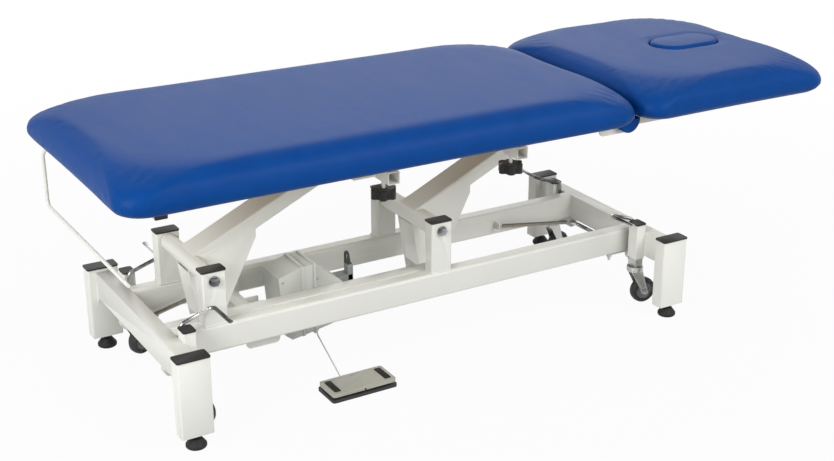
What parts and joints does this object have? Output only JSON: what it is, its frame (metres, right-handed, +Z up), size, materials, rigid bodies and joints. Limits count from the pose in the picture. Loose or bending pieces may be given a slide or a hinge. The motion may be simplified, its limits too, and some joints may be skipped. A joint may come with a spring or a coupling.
{
  "type": "electric treatment table",
  "caption": "Height-adjustable padded treatment table with a tilting head section, face hole and plug, electric lift, foot switch and retractable swivel casters.",
  "frame": {"origin": "on the floor under the middle of the padded top, at the bottom centre of the bounding box", "axes": "+X along the table towards the head end, +Y across the table away from the foot switch, +Z up"},
  "size_m": [2.06, 0.73, 0.6914],
  "materials": {
    "frame_paint": "satin powder coat, warm off-white",
    "cap_plastic": "textured moulded end caps, charcoal",
    "foot_rubber": "matt black moulded feet",
    "zinc_steel": "bright zinc plating",
    "chrome_steel": "polished chrome",
    "hanger_plastic": "white moulded bearing blocks",
    "housing_plastic": "fine textured pale grey-green",
    "motor_metal": "dark motor can",
    "plug_plastic": "black plug and lead",
    "switch_plastic": "champagne-grey cover on a dark tray",
    "cord_sheath": "pale grey round lead",
    "knob_plastic": "black moulded star knobs",
    "board_wood": "plywood boards",
    "vinyl": "deep blue vinyl over foam, fine grain",
    "spring_steel": "bronze-grey plated spring wire",
    "tyre_rubber": "black tyre on a grey hub"
  },
  "bodies": {
    "base": {"side_rails": "frame_paint", "end_beams": "frame_paint", "legs": "frame_paint", "end_caps": "cap_plastic", "pivot_posts": "frame_paint", "pivot_bolts": "chrome_steel", "caster_sleeves": "frame_paint", "shaft_hangers": "hanger_plastic", "actuator_mount": "frame_paint", "motor_housing": "housing_plastic", "gear_housing": "housing_plastic", "lift_motor": "motor_metal", "guide_tube": "housing_plastic", "motor_plug": "plug_plastic", "foot_switch_base": "switch_plastic", "foot_switch_cord": "cord_sheath", "return_spring_foot": "spring_steel", "return_spring_head": "spring_steel"},
    "foot_arm": {"lift_arm_foot": "frame_paint", "pivot_tube_foot": "frame_paint"},
    "head_arm": {"lift_arm_head": "frame_paint", "pivot_tube_head": "frame_paint", "rod_pin": "zinc_steel"},
    "rod": {"actuator_rod": "zinc_steel"},
    "top": {"frame_rails": "frame_paint", "cross_tubes": "frame_paint", "frame_caps": "cap_plastic", "accessory_sockets": "frame_paint", "frame_brackets": "frame_paint", "upper_pins": "zinc_steel", "paper_roll_bar": "frame_paint", "main_board": "board_wood", "main_cushion": "vinyl"},
    "head": {"head_frame": "frame_paint", "head_hinges": "frame_paint", "head_board": "board_wood", "head_cushion": "vinyl", "gap_cover": "vinyl"},
    "plug": {"face_plug": "vinyl"},
    "knob_foot": {"socket_knob_foot": "knob_plastic"},
    "knob_head": {"socket_knob_head": "knob_plastic"},
    "pedals_foot": {"pedal_shaft_foot": "chrome_steel"},
    "pedals_head": {"pedal_shaft_head": "chrome_steel"},
    "rocker": {"foot_switch_rocker": "switch_plastic"},
    "foot_1": {"levelling_foot_1": "foot_rubber"},
    "stem_1": {"caster_stem_1": "zinc_steel"},
    "fork_1": {"caster_fork_1": "zinc_steel"},
    "wheel_1": {"caster_wheel_1": "tyre_rubber"},
    "foot_2": {"levelling_foot_2": "foot_rubber"},
    "stem_2": {"caster_stem_2": "zinc_steel"},
    "fork_2": {"caster_fork_2": "zinc_steel"},
    "wheel_2": {"caster_wheel_2": "tyre_rubber"},
    "foot_3": {"levelling_foot_3": "foot_rubber"},
    "stem_3": {"caster_stem_3": "zinc_steel"},
    "fork_3": {"caster_fork_3": "zinc_steel"},
    "wheel_3": {"caster_wheel_3": "tyre_rubber"},
    "foot_4": {"levelling_foot_4": "foot_rubber"},
    "stem_4": {"caster_stem_4": "zinc_steel"},
    "fork_4": {"caster_fork_4": "zinc_steel"},
    "wheel_4": {"caster_wheel_4": "tyre_rubber"}
  },
  "joints": [
    {"name": "lift", "type": "hinge", "parent": "base", "child": "foot_arm", "pos_m": [-0.75247, 0, 0.336], "axis": [0, -1, 0], "range_deg": [-20, 30]},
    {"name": "head_arm_lift", "type": "hinge", "parent": "base", "child": "head_arm", "pos_m": [-0.12447, 0, 0.336], "axis": [0, -1, 0], "range_deg": [-20.5, 30.5]},
    {"name": "top_level", "type": "hinge", "parent": "foot_arm", "child": "top", "pos_m": [-0.3265, 0, 0.53463], "axis": [0, -1, 0], "range_deg": [-30.5, 20.5]},
    {"name": "rod_swing", "type": "hinge", "parent": "head_arm", "child": "rod", "pos_m": [-0.09147, 0, 0.138], "axis": [0, -1, 0], "range_deg": [-24.5, 16.5]},
    {"name": "head_tilt", "type": "hinge", "parent": "top", "child": "head", "pos_m": [0.375, 0, 0.57213], "axis": [0, -1, 0], "range_deg": [-40, 15], "deforming": ["gap_cover"]},
    {"name": "plug_lift", "type": "slide", "parent": "head", "child": "plug", "axis": [0, 0, 1], "range_m": [0, 0.12]},
    {"name": "knob_foot_turn", "type": "hinge", "parent": "top", "child": "knob_foot", "pos_m": [-0.32247, -0.215, 0.5], "axis": [0, 0, 1], "continuous": true},
    {"name": "knob_head_turn", "type": "hinge", "parent": "top", "child": "knob_head", "pos_m": [0.05053, -0.215, 0.5], "axis": [0, 0, 1], "continuous": true},
    {"name": "pedals_foot_press", "type": "hinge", "parent": "base", "child": "pedals_foot", "pos_m": [-0.87147, 0, 0.132], "axis": [0, 1, 0], "range_deg": [0, 45], "stiffness_Nm_per_rad": 2.5, "springref_deg": -57.3, "deforming": ["return_spring_foot"]},
    {"name": "pedals_head_press", "type": "hinge", "parent": "base", "child": "pedals_head", "pos_m": [0.52453, 0, 0.132], "axis": [0, -1, 0], "range_deg": [0, 45], "stiffness_Nm_per_rad": 2.5, "springref_deg": -57.3, "deforming": ["return_spring_head"]},
    {"name": "rocker_tilt", "type": "hinge", "parent": "base", "child": "rocker", "pos_m": [-0.42146, -0.249, 0.0165], "axis": [0, 1, 0], "range_deg": [-3, 3], "stiffness_Nm_per_rad": 6},
    {"name": "level_foot_near", "type": "slide", "parent": "base", "child": "foot_1", "axis": [0, 0, -1], "range_m": [0, 0.015]},
    {"name": "stem_foot_near", "type": "slide", "parent": "base", "child": "stem_1", "axis": [0, 0, -1], "range_m": [0, 0.021]},
    {"name": "swivel_foot_near", "type": "hinge", "parent": "stem_1", "child": "fork_1", "pos_m": [-0.84196, -0.202, 0.1], "axis": [0, 0, 1], "continuous": true},
    {"name": "wheel_foot_near", "type": "hinge", "parent": "fork_1", "child": "wheel_1", "pos_m": [-0.82796, -0.22625, 0.041], "axis": [0.866, 0.5, 0], "continuous": true},
    {"name": "level_foot_far", "type": "slide", "parent": "base", "child": "foot_2", "axis": [0, 0, -1], "range_m": [0, 0.015]},
    {"name": "stem_foot_far", "type": "slide", "parent": "base", "child": "stem_2", "axis": [0, 0, -1], "range_m": [0, 0.021]},
    {"name": "swivel_foot_far", "type": "hinge", "parent": "stem_2", "child": "fork_2", "pos_m": [-0.84196, 0.202, 0.1], "axis": [0, 0, 1], "continuous": true},
    {"name": "wheel_foot_far", "type": "hinge", "parent": "fork_2", "child": "wheel_2", "pos_m": [-0.816, 0.21249, 0.041], "axis": [-0.3746, 0.9272, 0], "continuous": true},
    {"name": "level_head_near", "type": "slide", "parent": "base", "child": "foot_3", "axis": [0, 0, -1], "range_m": [0, 0.015]},
    {"name": "stem_head_near", "type": "slide", "parent": "base", "child": "stem_3", "axis": [0, 0, -1], "range_m": [0, 0.021]},
    {"name": "swivel_head_near", "type": "hinge", "parent": "stem_3", "child": "fork_3", "pos_m": [0.49504, -0.202, 0.1], "axis": [0, 0, 1], "continuous": true},
    {"name": "wheel_head_near", "type": "hinge", "parent": "fork_3", "child": "wheel_3", "pos_m": [0.52261, -0.20686, 0.041], "axis": [0.1736, 0.9848, 0], "continuous": true},
    {"name": "level_head_far", "type": "slide", "parent": "base", "child": "foot_4", "axis": [0, 0, -1], "range_m": [0, 0.015]},
    {"name": "stem_head_far", "type": "slide", "parent": "base", "child": "stem_4", "axis": [0, 0, -1], "range_m": [0, 0.021]},
    {"name": "swivel_head_far", "type": "hinge", "parent": "stem_4", "child": "fork_4", "pos_m": [0.49504, 0.202, 0.1], "axis": [0, 0, 1], "continuous": true},
    {"name": "wheel_head_far", "type": "hinge", "parent": "fork_4", "child": "wheel_4", "pos_m": [0.52261, 0.20686, 0.041], "axis": [-0.1736, 0.9848, 0], "continuous": true}
  ],
  "couplings": [
    {"joint": "head_arm_lift", "follows": "lift", "ratio": 1},
    {"joint": "top_level", "follows": "lift", "ratio": -1},
    {"joint": "rod_swing", "follows": "lift", "ratio": -0.8},
    {"joint": "stem_foot_near", "follows": "pedals_foot_press", "m_per_rad": 0.0266},
    {"joint": "stem_foot_far", "follows": "pedals_foot_press", "m_per_rad": 0.0266},
    {"joint": "stem_head_near", "follows": "pedals_head_press", "m_per_rad": 0.0266},
    {"joint": "stem_head_far", "follows": "pedals_head_press", "m_per_rad": 0.0266}
  ]
}
